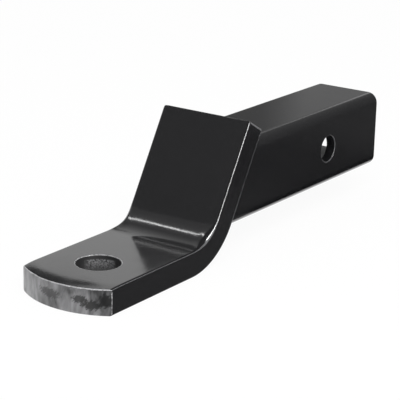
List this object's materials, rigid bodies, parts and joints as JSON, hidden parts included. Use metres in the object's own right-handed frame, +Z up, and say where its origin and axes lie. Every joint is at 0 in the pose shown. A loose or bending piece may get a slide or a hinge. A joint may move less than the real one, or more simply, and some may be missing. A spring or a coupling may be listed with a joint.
{
  "type": "ball mount",
  "caption": "Trailer ball mount: a bent flat bar with a rounded tip and a hole for the ball, welded to a hollow square shank with a cross hole for the hitch pin.",
  "frame": {"origin": "on the shank's centreline, at the axis of the hitch pin's cross hole", "axes": "+X along the shank towards its open end, which goes into the receiver; the ball platform is on the -X side; +Y across, along the pin hole's axis; +Z up, square to the ball platform"},
  "size_m": [0.3085, 0.064, 0.0829],
  "materials": {
    "black_coat": "semi-gloss"
  },
  "bodies": {
    "root": {"ball_plate": "black_coat", "shank_tube": "black_coat", "weld_bead": "black_coat"}
  },
  "joints": []
}
